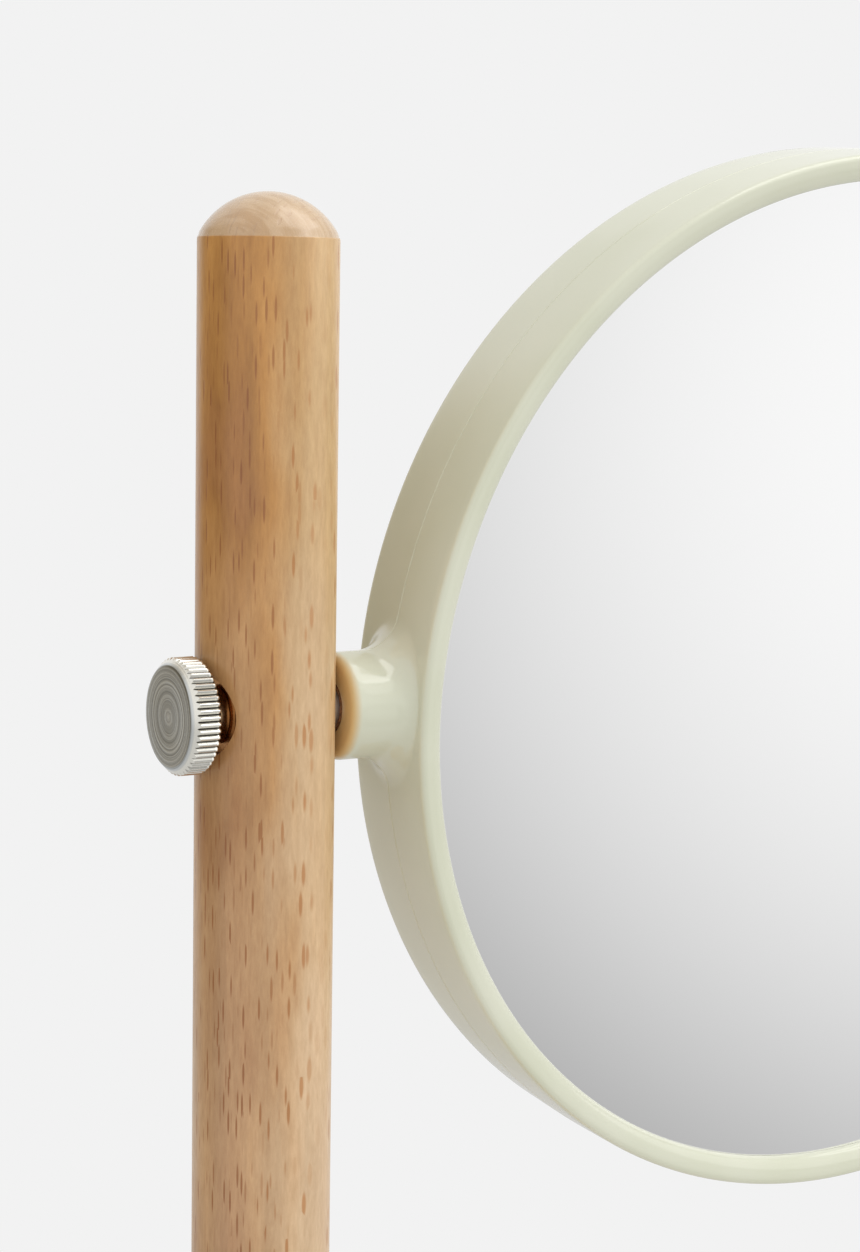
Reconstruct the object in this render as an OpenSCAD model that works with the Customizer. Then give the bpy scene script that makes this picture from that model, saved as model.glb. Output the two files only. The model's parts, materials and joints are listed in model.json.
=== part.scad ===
// Extendable shaving mirror: a round two-sided mirror cantilevered from a round wooden post.
// The post is a sleeve that slides and swivels on a steel tube in a weighted round base.
// Origin: centre of the face that the base stands on. +Z up, mirror to +X, plane glass facing -Y.

/* [Height] */
// Height of the tilt axis above the table
pivot_z = 317; // [300:1:330]
// Travel of the post down from here until the ferrule meets the base collar
travel_down = 50; // [20:1:50]

/* [Post] */
// Diameter of the wooden post
post_d = 24; // [24:0.5:26]
// Height of the straight part of the post above the tilt axis
post_above = 80; // [60:1:110]
// Height of the domed end
dome_h = 7.6; // [5:0.1:11]
// Diameter of the long bore that the tube slides in
post_bore_d = 17; // [16.5:0.1:17.5]

/* [Mirror] */
// Outside diameter of the ring at the parting line
ring_d = 199.4; // [180:0.2:210]
// Depth of the ring, front to back
ring_depth = 23.6; // [22:0.2:28]
// Distance from the post's axis to the mirror's centre
mirror_offset = 123.8; // [122:0.1:135]
// Diameter of the glass inside the lip
sight_d = 189; // [170:0.5:190]
// How far the glass lies behind the front of the lip
glass_set_back = 2.9; // [2:0.1:4]
// Thickness of each glass
glass_t = 3; // [2:0.5:3]
// Radius of curvature of the magnifying glass
magnifier_r = 1000; // [700:50:2000]
// Tilt of the mirror as it stands, top forward
rest_tilt = 4.9; // [-20:0.1:20]

/* [Boss] */
// Diameter of the boss that carries the ring
boss_d = 18.8; // [17:0.1:20]
// Diameter of the recess in the boss's end
boss_recess_d = 9; // [8.5:0.1:10]

/* [Thumb screws] */
// Diameter over the knurl
knob_d = 20; // [18:0.5:22]
// Height of the knurled head
knob_h = 5.4; // [4:0.1:7]
// Diameter of the counterbore in the post that takes the screw's collar
counterbore_d = 14.8; // [14:0.1:16]
// Nominal diameter of the thread
thread_d = 5; // [4:1:6]

/* [Stand] */
// Diameter of the wooden base
base_d = 180; // [170:1:200]
// Thickness of the wooden base
base_h = 22; // [20:0.5:28]
// Thickness of the non-slip pad
pad_h = 2; // [1:0.5:3]
// Diameter of the steel weight inside the base
ballast_d = 140; // [110:1:150]
// Thickness of the steel weight
ballast_h = 10; // [9:0.5:12]
// Diameter of the tube that the post slides on
tube_d = 14; // [13.5:0.1:14.2]
// Wall of the tube
tube_wall = 1.5; // [1:0.1:2]

/* [Hidden] */
$fn = 96;

// Clearances: between touching faces, and round a running fit
gap = 0.05;
fit = 0.05;
eps = 0.01;

// Stand, heights above the table
base_r = base_d / 2;
base_edge_r = 4;
base_top = pad_h + base_h;
ballast_r = ballast_d / 2;
ballast_z = pad_h + 0.3;
ballast_top = ballast_z + ballast_h;
tube_r = tube_d / 2;
tube_in_r = tube_r - tube_wall;
tube_seat_z = ballast_top + 4.7;
bolt_r = 4;
bolt_head_h = 5.3;
bolt_head_flats = 13;
bolt_pocket_r = 10;
bolt_pocket_h = 7.6;
washer_h = 1.6;
bolt_head_z = ballast_z + bolt_pocket_h - washer_h - bolt_head_h - 2 * gap;
foot_plug_h = 18;
collar_r = 14;
ferrule_h = 26;
ferrule_r = 13.5;

// Post, heights at rest
post_r = post_d / 2;
post_bore_r = post_bore_d / 2;
dome_r = (post_r * post_r + dome_h * dome_h) / (2 * dome_h);
crease_z = pivot_z + post_above;
bore_top = pivot_z - 17;
collar_top = 33.5;
ferrule_z = collar_top + 0.5 + travel_down;
ferrule_top = ferrule_z + ferrule_h;
ferrule_floor = 1.5;
ferrule_socket = 10;
post_bottom = ferrule_top - ferrule_socket;
bush_r = 9.5;
bush_z = ferrule_z + ferrule_floor + gap;
bush_top = post_bottom - gap;
groove_depth = 0.8;
groove_h = 5.4;
clamp_z = ferrule_z + 8.5;
guide_h = 20;
guide_top = bore_top - travel_down - 4;
guide_cap = 3;
tube_top = guide_top - guide_cap;

// Tilt joint, positions along X from the post's axis
screw_r = thread_d / 2;
knob_r = knob_d / 2;
knob_chamfer = 1.1;
screw_collar_d = 10;
screw_collar_h = 3.85;
counterbore_x = -8;
washer_t = 0.9;
sleeve_r = 4;
sleeve_end = 12.35;
boss_r = boss_d / 2;
boss_x = 12.4;
boss_rim = 1.4;
recess_depth = 1.05;
insert_x = boss_x + recess_depth;
insert_r = 4.2;
insert_end = 23.4;
nut_x = 18.6;
nut_flats = 9;
flare_x = 20.4;
flare_w = 2;
flare_h = 3;
tilt_screw_tip = 22;
clamp_pad_t = 1.2;
clamp_tip = -(bush_r - groove_depth + gap + clamp_pad_t + gap);
clamp_shank = 5.6;

// Ring, radii from its own axis and depths from its mid-plane
ring_r = ring_d / 2;
half_depth = ring_depth / 2;
draft = 0.25;
ring_wall = 3.2;
ring_in_r = ring_r - ring_wall;
sight_r = sight_d / 2;
glass_z = half_depth - glass_set_back;
lip_crest = 0.9;
glass_r = ring_in_r - 0.3;
tongue_t = 1.5;
tongue_h = 2;
spacer_w = 6;
foam_r = 60;
arc_steps = 8;

// Colours
beech = [0.80, 0.62, 0.44];
cream = [0.85, 0.86, 0.78];
nickel = [0.72, 0.71, 0.68];
steel = [0.55, 0.56, 0.58];
nylon = [0.92, 0.91, 0.87];
brass = [0.72, 0.55, 0.28];

// Points of an arc in the plane, from angle a0 to a1, with radii rx and ry
function arc(cx, cy, rx, ry, a0, a1) =
  [for (i = [0:arc_steps]) let (a = a0 + (a1 - a0) * i / arc_steps) [cx + rx * cos(a), cy + ry * sin(a)]];

// Depth of the magnifying glass's sphere of radius s, whose centre lies behind the ring, at radius r
function dish(s, r) = -(glass_z + sqrt(magnifier_r * magnifier_r - glass_r * glass_r)) + sqrt(s * s - r * r);

// A hexagonal prism across its flats
module hex(flats, h) {
  cylinder(d = flats / cos(30), h = h, $fn = 6);
}

// A plain ring
module tube(r_out, r_in, h) {
  difference() {
    cylinder(r = r_out, h = h);
    translate([0, 0, -eps]) cylinder(r = r_in, h = h + 2 * eps);
  }
}

// Points +Z of what follows along +X, with its zero on the post's axis
module along_x(z = 0) {
  translate([0, 0, z]) rotate([0, 90, 0]) children();
}

// The tilting frame of the mirror: X along the tilt axis, which the mirror turns round
module tilted() {
  translate([0, 0, pivot_z]) rotate([rest_tilt, 0, 0]) children();
}

// The ring's own frame: +Z out of the plane glass, zero on the ring's mid-plane
module ring_frame() {
  tilted() translate([mirror_offset, 0, 0]) rotate([90, 0, 0]) children();
}

// ---- Stand ----

module base_pad() {
  color("dimgray") cylinder(r = base_r - base_edge_r, h = pad_h, $fn = 160);
}

module ballast_plate() {
  color(steel) difference() {
    translate([0, 0, ballast_z]) cylinder(r = ballast_r, h = ballast_h, $fn = 160);
    translate([0, 0, ballast_z - eps]) cylinder(r = bolt_pocket_r, h = bolt_pocket_h + eps);
    translate([0, 0, ballast_z]) cylinder(r = bolt_r + 0.4, h = ballast_h + eps);
  }
}

module base_disc() {
  profile = concat(
    [[0, pad_h], [base_r - base_edge_r, pad_h]],
    arc(base_r - 2, pad_h + 2, 2, 2, -90, 0),
    arc(base_r - base_edge_r, base_top - base_edge_r, base_edge_r, base_edge_r, 0, 90),
    [[0, base_top]]
  );
  color(beech) difference() {
    rotate_extrude($fn = 160) polygon(profile);
    translate([0, 0, pad_h - eps]) cylinder(r = ballast_r + 0.3, h = ballast_h + 0.5, $fn = 160);
    translate([0, 0, pad_h]) cylinder(r = bolt_r + 0.4, h = base_h + eps);
    translate([0, 0, tube_seat_z]) cylinder(r = tube_r + fit, h = base_h);
  }
}

module base_washer() {
  color(steel) translate([0, 0, bolt_head_z + bolt_head_h + gap]) tube(8, bolt_r + 0.3, washer_h);
}

module base_bolt() {
  color(steel) translate([0, 0, bolt_head_z]) {
    hex(bolt_head_flats, bolt_head_h);
    cylinder(r = bolt_r - fit, h = tube_seat_z + foot_plug_h - 3 - bolt_head_z);
  }
}

module tube_foot_plug() {
  color(steel) translate([0, 0, tube_seat_z]) tube(tube_in_r - 0.02, bolt_r, foot_plug_h);
}

module stand_tube() {
  color(nickel) translate([0, 0, tube_seat_z]) tube(tube_r, tube_in_r, tube_top - tube_seat_z);
}

module base_collar() {
  height = collar_top - base_top;
  rim = 1.5;
  profile = concat(
    [[tube_r + fit, 0], [collar_r, 0], [collar_r, height - rim]],
    arc(collar_r - rim, height - rim, rim, rim, 0, 90),
    [[tube_r + fit, height]]
  );
  color(nickel) translate([0, 0, base_top]) rotate_extrude() polygon(profile);
}

// A nylon cap on the tube's end that fills the post's bore
module tube_top_guide() {
  color(nylon) translate([0, 0, guide_top - guide_h]) difference() {
    cylinder(r = post_bore_r - fit, h = guide_h);
    translate([0, 0, -eps]) cylinder(r = tube_r + 0.02, h = guide_h - guide_cap);
  }
}

// ---- Post ----

// The bush runs on the tube; the post turns round it and the clamp pad bears in its groove
module guide_bush() {
  height = bush_top - bush_z;
  color(nylon) difference() {
    translate([0, 0, bush_z]) tube(bush_r, tube_r + fit, height);
    translate([0, 0, clamp_z - groove_h / 2]) tube(bush_r + 1, bush_r - groove_depth, groove_h);
  }
}

module post() {
  color(beech) difference() {
    union() {
      translate([0, 0, post_bottom]) cylinder(r = post_r, h = crease_z - post_bottom);
      intersection() {
        translate([0, 0, crease_z + dome_h - dome_r]) sphere(r = dome_r);
        translate([0, 0, crease_z]) cylinder(r = post_r, h = dome_h + 1);
      }
    }
    translate([0, 0, post_bottom - eps]) cylinder(r = post_bore_r, h = bore_top - post_bottom + eps);
    translate([-post_r - 1, 0, 0]) along_x(pivot_z)
      cylinder(r = counterbore_d / 2, h = post_r + 1 + counterbore_x);
    translate([counterbore_x - eps, 0, 0]) along_x(pivot_z) cylinder(r = sleeve_r, h = 2 * post_r);
  }
}

module post_ferrule() {
  rim = 1.2;
  profile = concat(
    arc(ferrule_r - rim, rim, rim, rim, -90, 0),
    arc(ferrule_r - rim, ferrule_h - rim, rim, rim, 0, 90),
    [[post_r + 0.02, ferrule_h], [post_r + 0.02, ferrule_h - ferrule_socket]],
    [[bush_r + fit, ferrule_h - ferrule_socket], [bush_r + fit, ferrule_floor]],
    [[tube_r + 0.4, ferrule_floor], [tube_r + 0.4, 0]]
  );
  color(nickel) difference() {
    translate([0, 0, ferrule_z]) rotate_extrude() polygon(profile);
    translate([-2 * ferrule_r, 0, 0]) along_x(clamp_z) cylinder(r = screw_r, h = 2 * ferrule_r - bush_r + 1);
  }
}

// Lines the cross hole, so that the screw's pull doesn't crush the wood
module pivot_sleeve() {
  color(steel) translate([counterbore_x, 0, 0]) along_x(pivot_z)
    tube(sleeve_r - 0.02, screw_r + 0.15, sleeve_end - counterbore_x);
}

// ---- Thumb screws ----

// A thumb screw along +X: knurled head, collar and thread, with zero where the collar ends
module thumb_screw(shank) {
  head_z = -screw_collar_h - knob_h;
  profile = concat(
    [[0, head_z], [knob_r - knob_chamfer, head_z], [knob_r, head_z + knob_chamfer]],
    [[knob_r, -screw_collar_h - 0.5], [knob_r - 0.5, -screw_collar_h]],
    [[screw_collar_d / 2, -screw_collar_h], [screw_collar_d / 2, 0], [screw_r - fit, 0]],
    [[screw_r - fit, shank - 0.7], [screw_r - 0.7 - fit, shank], [0, shank]]
  );
  rotate_extrude() polygon(profile);
}

module clamp_pad() {
  color(brass) translate([clamp_tip + gap, 0, 0]) along_x(clamp_z)
    cylinder(r = screw_r - 0.2, h = clamp_pad_t);
}

module clamp_screw() {
  color(nickel) translate([clamp_tip - clamp_shank, 0, 0]) along_x(clamp_z) thumb_screw(clamp_shank);
}

module tilt_screw_washer() {
  color(steel) translate([counterbore_x - gap - washer_t, 0, 0]) along_x(pivot_z)
    tube(6.5, screw_r + 0.15, washer_t);
}

module tilt_screw() {
  seat = counterbore_x - washer_t - 2 * gap;
  color(nickel) translate([seat, 0, 0]) along_x(pivot_z) thumb_screw(tilt_screw_tip - seat);
}

// ---- Mirror ----

// One half of the ring before it is hollowed, from its mid-plane to its lip
module ring_half() {
  lip_h = half_depth - glass_z;
  lip_w = ring_r - draft - lip_crest - sight_r;
  profile = concat(
    [[sight_r, 0], [sight_r, glass_z]],
    arc(sight_r + lip_w, glass_z, lip_w, lip_h, 180, 90),
    arc(ring_r - draft - lip_crest, half_depth - lip_crest, lip_crest, lip_crest, 90, 0),
    [[ring_r, 0]]
  );
  rotate_extrude($fn = 240) polygon(profile);
}

// One half of the boss with its rounded end and the flare into the ring's wall. It is turned a half turn
module boss_half() {
  inner_x = mirror_offset - ring_in_r + 0.6;
  profile = concat(
    [[0, boss_x]],
    arc(boss_r - boss_rim, boss_x + boss_rim, boss_rim, boss_rim, -90, 0),
    [[boss_r, flare_x], [boss_r + flare_w, flare_x + flare_h]],
    [[boss_r + flare_w, inner_x], [0, inner_x]]
  );
  rotate([0, 90, 0]) rotate_extrude(angle = 180) polygon(profile);
}

// What the boss is hollowed by: end recess, and the seat of the threaded insert
module boss_hollow() {
  rotate([0, 90, 0]) {
    cylinder(r = boss_recess_d / 2, h = insert_x);
    cylinder(r = insert_r + gap, h = nut_x);
    translate([0, 0, nut_x - gap]) rotate([0, 0, 30]) hex(nut_flats + 2 * gap, insert_end - nut_x + 2 * gap);
  }
}

// One half of the frame on the side that its ring half points to: the front half as drawn
module frame_half() {
  difference() {
    union() {
      translate([mirror_offset, 0, 0]) rotate([90, 0, 0]) ring_half();
      mirror([0, 1, 0]) boss_half();
    }
    boss_hollow();
    translate([mirror_offset, eps, 0]) rotate([90, 0, 0])
      cylinder(r = ring_in_r, h = glass_z + eps, $fn = 240);
  }
}

module mirror_frame_front() {
  color(cream) tilted() union() {
    frame_half();
    translate([mirror_offset, tongue_h, 0]) rotate([90, 0, 0])
      tube_fine(ring_in_r + tongue_t, ring_in_r, tongue_h + 1);
  }
}

module mirror_frame_rear() {
  color(cream) tilted() difference() {
    mirror([0, 1, 0]) frame_half();
    translate([mirror_offset, tongue_h + gap, 0]) rotate([90, 0, 0])
      cylinder(r = ring_in_r + tongue_t + gap, h = tongue_h + 1, $fn = 240);
  }
}

// A ring with enough sides for the mirror's large diameters
module tube_fine(r_out, r_in, h) {
  difference() {
    cylinder(r = r_out, h = h, $fn = 240);
    translate([0, 0, -1]) cylinder(r = r_in, h = h + 2, $fn = 240);
  }
}

module plane_mirror() {
  color("lightsteelblue") ring_frame() translate([0, 0, glass_z - gap - glass_t])
    cylinder(r = glass_r, h = glass_t, $fn = 240);
}

// Concave glass: both faces are spherical round one centre
module magnifying_mirror() {
  hollow = [for (i = [0:arc_steps]) let (r = glass_r * i / arc_steps) [r, dish(magnifier_r, r) + gap]];
  back = [
    for (i = [arc_steps:-1:0]) let (r = glass_r * i / arc_steps) [r, dish(magnifier_r + glass_t, r) + gap]
  ];
  color("lightsteelblue") ring_frame() rotate_extrude($fn = 240) polygon(concat(hollow, back));
}

module spacer_ring() {
  out_r = glass_r;
  in_r = out_r - spacer_w;
  front = glass_z - glass_t - 2 * gap;
  outer_back = dish(magnifier_r + glass_t, out_r) + 2 * gap;
  inner_back = dish(magnifier_r + glass_t, in_r) + 3 * gap;
  color(nylon) ring_frame() rotate_extrude($fn = 240)
    polygon([[in_r, front], [out_r, front], [out_r, outer_back], [in_r, inner_back]]);
}

module backing_foam() {
  front = glass_z - glass_t - 2 * gap;
  back = dish(magnifier_r + glass_t, 0) + 2 * gap;
  color("gray") ring_frame() translate([0, 0, back]) cylinder(r = foam_r, h = front - back);
}

module thread_insert() {
  color(brass) tilted() rotate([0, 90, 0]) difference() {
    union() {
      translate([0, 0, insert_x]) cylinder(r = insert_r, h = insert_end - insert_x);
      translate([0, 0, nut_x]) rotate([0, 0, 30]) hex(nut_flats, insert_end - nut_x);
    }
    cylinder(r = screw_r, h = insert_end + 1);
  }
}

module friction_washer() {
  color("sienna") tilted() rotate([0, 90, 0]) translate([0, 0, boss_x])
    tube(boss_recess_d / 2 - 0.1, screw_r + 0.15, recess_depth - gap);
}

base_pad();
ballast_plate();
base_disc();
base_washer();
base_bolt();
tube_foot_plug();
stand_tube();
base_collar();
tube_top_guide();
guide_bush();
post();
post_ferrule();
pivot_sleeve();
clamp_pad();
clamp_screw();
tilt_screw_washer();
tilt_screw();
mirror_frame_front();
mirror_frame_rear();
plane_mirror();
magnifying_mirror();
spacer_ring();
backing_foam();
thread_insert();
friction_washer();
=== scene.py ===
import json
import math

import bmesh
import bpy
from mathutils import Matrix, Vector

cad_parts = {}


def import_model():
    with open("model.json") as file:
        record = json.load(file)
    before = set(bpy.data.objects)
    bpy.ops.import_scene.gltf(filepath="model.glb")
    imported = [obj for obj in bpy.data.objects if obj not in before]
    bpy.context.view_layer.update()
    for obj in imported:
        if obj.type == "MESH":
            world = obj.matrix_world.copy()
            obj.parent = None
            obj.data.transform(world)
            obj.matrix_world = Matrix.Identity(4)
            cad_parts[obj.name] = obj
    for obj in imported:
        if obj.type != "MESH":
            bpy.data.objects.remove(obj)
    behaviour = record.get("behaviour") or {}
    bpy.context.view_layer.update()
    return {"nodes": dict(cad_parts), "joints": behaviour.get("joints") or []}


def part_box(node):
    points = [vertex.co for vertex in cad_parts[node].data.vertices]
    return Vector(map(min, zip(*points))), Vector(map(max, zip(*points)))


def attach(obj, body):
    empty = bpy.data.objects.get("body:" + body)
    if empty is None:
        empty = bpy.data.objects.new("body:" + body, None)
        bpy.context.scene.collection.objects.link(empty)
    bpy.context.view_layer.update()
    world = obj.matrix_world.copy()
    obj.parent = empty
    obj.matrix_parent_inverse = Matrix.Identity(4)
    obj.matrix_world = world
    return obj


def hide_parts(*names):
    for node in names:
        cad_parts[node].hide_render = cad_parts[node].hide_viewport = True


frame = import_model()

# ---- Measures: places come from the frame, shapes are in millimetres ----

MM = 0.001
MOTION = {joint["name"]: joint for joint in frame["joints"]}
PIVOT = Vector(MOTION["mirror_tilt"]["pos_m"])
CLAMP_AXIS = Vector(MOTION["clamp_screw_turn"]["pos_m"])


def size_mm(node):
    """Width, depth and height of a CAD node."""
    low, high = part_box(node)
    return (high - low) / MM


def low_mm(node):
    """Lowest corner of a CAD node."""
    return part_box(node)[0] / MM


def high_mm(node):
    """Highest corner of a CAD node."""
    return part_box(node)[1] / MM


def glass_tilt():
    """How far the plane glass looks down, from the faces that look towards -Y."""
    facing = Vector()
    for face in frame["nodes"]["plane_mirror"].data.polygons:
        if face.normal.y < -0.7:
            facing += face.normal * face.area
    return math.atan2(-facing.z, -facing.y)


TILT = glass_tilt()

# Ring and glasses, radii from the ring's axis and depths from its mid-plane
GLASS_R = size_mm("plane_mirror").x / 2
RING_X = (low_mm("plane_mirror").x + high_mm("plane_mirror").x) / 2
RING_IN_R = GLASS_R + 0.3
RING_R = high_mm("mirror_frame_front").x - RING_X
RING_HALF = 11.8
RING_DRAFT = 0.25
LIP_CREST = 0.9
SIGHT_R = 94.5
GLASS_DEPTH = 8.9
GLASS_T = 3.0
MAGNIFIER_R = 1000.0
SEAM = 0.17

# Boss, radii from the tilt axis and distances from the post's axis
BOSS_R = 9.4
BOSS_X = low_mm("mirror_frame_front").x
BOSS_RIM = 1.5
RECESS_R = 4.5
POCKET_X = 23.5
FLARE_TOP = 15.5
FLARE_SIDE = 10.4
FLARE_H = 4.0
FLARE_RIDGE = 2.2
# reach of the painted amber reflection of the wood on the boss's end
BOSS_WOOD_REFLECTION = 1.7

# Post and stand, heights above the table
POST_R = size_mm("post").x / 2
POST_BOTTOM = low_mm("post").z
POST_TOP = high_mm("post").z
DOME_H = 7.6
POST_BORE_R = 8.5
POST_BORE_TOP = PIVOT.z / MM - 17
COUNTERBORE_R = 7.4
COUNTERBORE_X = -8.0
SLEEVE_R = 4.0
TAPPED_R = 2.5
TUBE_WALL = 1.5
COLLAR_EDGE = 1.6

# Knurled head of a thumb screw, distances from where its collar ends
KNOB_R = size_mm("tilt_screw").z / 2
KNOB_H = 5.4
COLLAR_H = 3.85
COLLAR_R = 5.0
SHANK_R = 2.45
RIBS = 53
FACE_R = 8.75
RIB_DEPTH = 0.55
THREAD_PITCH = 0.8
THREAD_DEPTH = 0.42


# ---- Mesh helpers ----

def arc(cx, cy, rx, ry, start, end, steps=8):
    """Points of an arc in the plane, angles in degrees."""
    points = []
    for i in range(steps + 1):
        a = math.radians(start + (end - start) * i / steps)
        points.append((cx + rx * math.cos(a), cy + ry * math.sin(a)))
    return points


def rounded(profile, radius, steps=4):
    """A profile with each corner cut by an arc: a point may carry its own radius as a third number."""
    points = [profile[0][:2]]
    for before, corner, after in zip(profile, profile[1:], profile[2:]):
        p, c, n = (Vector(q[:2]) for q in (before, corner, after))
        r = corner[2] if len(corner) > 2 else radius
        r = min(r, (p - c).length * 0.45, (n - c).length * 0.45)
        if r <= 0:
            points.append(tuple(c))
            continue
        a, b = c + (p - c).normalized() * r, c + (n - c).normalized() * r
        for i in range(steps + 1):
            t = i / steps
            q = a * (1 - t) ** 2 + c * 2 * t * (1 - t) + b * t ** 2
            points.append(tuple(q))
    points.append(profile[-1][:2])
    return points


def revolve(bm, profile, place, steps=96, closed=False, start=0.0, turn=360.0):
    """Faces swept by a profile of (radius, height) round +Z, put in place by a matrix in millimetres."""
    whole = turn >= 360.0
    columns = []
    for i in range(steps if whole else steps + 1):
        a = math.radians(start + turn * i / steps)
        columns.append([place @ Vector((r * math.cos(a), r * math.sin(a), h)) for r, h in profile])
    verts = [[bm.verts.new(p * MM) for p in column] for column in columns]
    rows = len(profile) if closed else len(profile) - 1
    for i in range(steps):
        one, two = verts[i], verts[(i + 1) % len(verts)]
        for j in range(rows):
            k = (j + 1) % len(profile)
            corners = [one[j], one[k], two[k], two[j]]
            if profile[j][0] < 1e-6:
                corners = [one[j], one[k], two[k]]
            elif profile[k][0] < 1e-6:
                corners = [one[j], one[k], two[j]]
            bm.faces.new(corners)


def finish_mesh(bm, name, body, finish, nodes=(), sharp=32.0):
    """Closes the mesh's books: merged points, outward faces, smooth shading but for its sharp edges."""
    bmesh.ops.remove_doubles(bm, verts=bm.verts, dist=0.002 * MM)
    bmesh.ops.recalc_face_normals(bm, faces=bm.faces)
    for face in bm.faces:
        face.smooth = True
    for edge in bm.edges:
        if len(edge.link_faces) == 2 and edge.calc_face_angle() > math.radians(sharp):
            edge.smooth = False
    mesh = bpy.data.meshes.new(name)
    bm.to_mesh(mesh)
    bm.free()
    piece = bpy.data.objects.new(name, mesh)
    bpy.context.scene.collection.objects.link(piece)
    mesh.materials.append(finish)
    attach(piece, body)
    if nodes:
        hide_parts(*nodes)
    return piece


def lathe(name, profile, body, finish, nodes=(), place=Matrix(), steps=128, closed=False):
    """One turned piece."""
    bm = bmesh.new()
    revolve(bm, profile, place, steps, closed)
    return finish_mesh(bm, name, body, finish, nodes)


def along_x(x, z):
    """Puts a turned piece's +Z along +X, its zero at (x, 0, z) in millimetres."""
    return Matrix.Translation((x, 0, z)) @ Matrix.Rotation(math.pi / 2, 4, "Y")


def in_tilt():
    """The tilting frame of the mirror, in millimetres: X along the tilt axis, zero on the post's axis."""
    return Matrix.Translation(PIVOT / MM) @ Matrix.Rotation(TILT, 4, "X")


def in_ring():
    """The ring's own frame: +Z out of the plane glass."""
    return in_tilt() @ Matrix.Translation((RING_X, 0, 0)) @ Matrix.Rotation(math.pi / 2, 4, "X")


# ---- Node helpers ----

class Finish:
    """A material under construction: adds nodes and joins them."""

    def __init__(self, name):
        self.material = bpy.data.materials.new(name)
        self.material.use_nodes = True
        self.nodes = self.material.node_tree.nodes
        self.links = self.material.node_tree.links
        self.shader = self.nodes["Principled BSDF"]

    def add(self, kind, inputs=None, **settings):
        """A node with its settings; an input's value is a number, a colour or another node's output."""
        made = self.nodes.new("ShaderNode" + kind)
        for key, value in settings.items():
            setattr(made, key, value)
        for key, value in (inputs or {}).items():
            self.join(value, made.inputs[key])
        return made

    def join(self, value, socket):
        if isinstance(value, bpy.types.NodeSocket):
            self.links.new(value, socket)
        else:
            socket.default_value = value

    def set(self, **values):
        """Sets the shader's own sockets, spaces written as underscores."""
        for key, value in values.items():
            self.join(value, self.shader.inputs[key.replace("_", " ")])

    def place(self, scale=(1, 1, 1), rotation=(0, 0, 0), location=(0, 0, 0)):
        """Object coordinates, moved, turned and then scaled."""
        point = self.add("TexCoord").outputs["Object"]
        moved = self.add("Mapping", {"Vector": point, "Location": location, "Rotation": rotation})
        return self.add("Mapping", {"Vector": moved.outputs[0], "Scale": scale}).outputs[0]

    def noise(self, vector, scale, detail=2.0, roughness=0.5, **settings):
        inputs = {"Vector": vector, "Scale": scale, "Detail": detail, "Roughness": roughness}
        return self.add("TexNoise", inputs, **settings).outputs["Fac"]

    def ramp(self, value, low, high, to_low=0.0, to_high=1.0, smooth=True):
        """Carries a value from one range to another."""
        kind = "SMOOTHSTEP" if smooth else "LINEAR"
        inputs = {"Value": value, "From Min": low, "From Max": high, "To Min": to_low, "To Max": to_high}
        return self.add("MapRange", inputs, interpolation_type=kind).outputs[0]

    def mix(self, share, one, two, blend="MIX"):
        made = self.nodes.new("ShaderNodeMix")
        made.data_type = "RGBA"
        made.blend_type = blend
        self.join(share, made.inputs["Factor"])
        self.join(one, made.inputs[6])
        self.join(two, made.inputs[7])
        return made.outputs[2]

    def math(self, operation, one, two=0.0):
        return self.add("Math", {0: one, 1: two}, operation=operation).outputs[0]

    def bump(self, height, distance, strength=1.0, normal=None):
        inputs = {"Height": height, "Distance": distance, "Strength": strength}
        if normal is not None:
            inputs["Normal"] = normal
        return self.add("Bump", inputs).outputs[0]


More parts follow.
